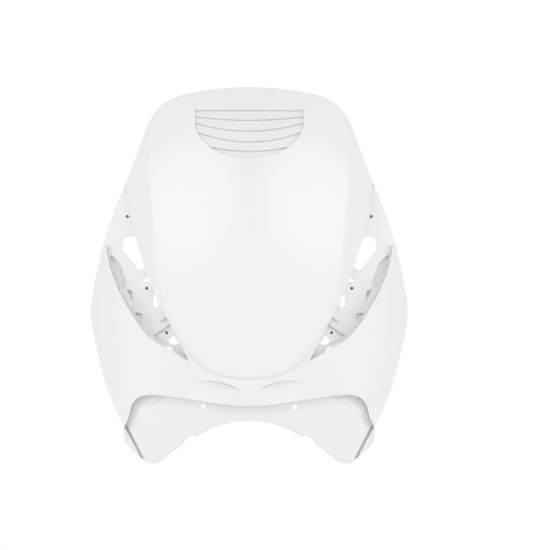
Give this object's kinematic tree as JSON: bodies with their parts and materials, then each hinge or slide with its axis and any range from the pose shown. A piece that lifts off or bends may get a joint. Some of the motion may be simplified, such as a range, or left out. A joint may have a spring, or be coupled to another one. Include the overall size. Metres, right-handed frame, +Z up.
{
  "type": "scooter front panel",
  "caption": "Glossy white moulded scooter front panel with a raised bonnet, louvred vent, slanted lamp recesses, swept wings and a lower skirt arched over the mudguard.",
  "frame": {"origin": "midway between the two lower screw holes, on the front face of the skirt", "axes": "+Z up, -Y forward out of the panel's face, +X across to the right of a person facing the front"},
  "size_m": [0.42, 0.1669, 0.4971],
  "materials": {
    "panel": "gloss white moulded plastic"
  },
  "bodies": {
    "root": {"front_panel": "panel"}
  },
  "joints": []
}
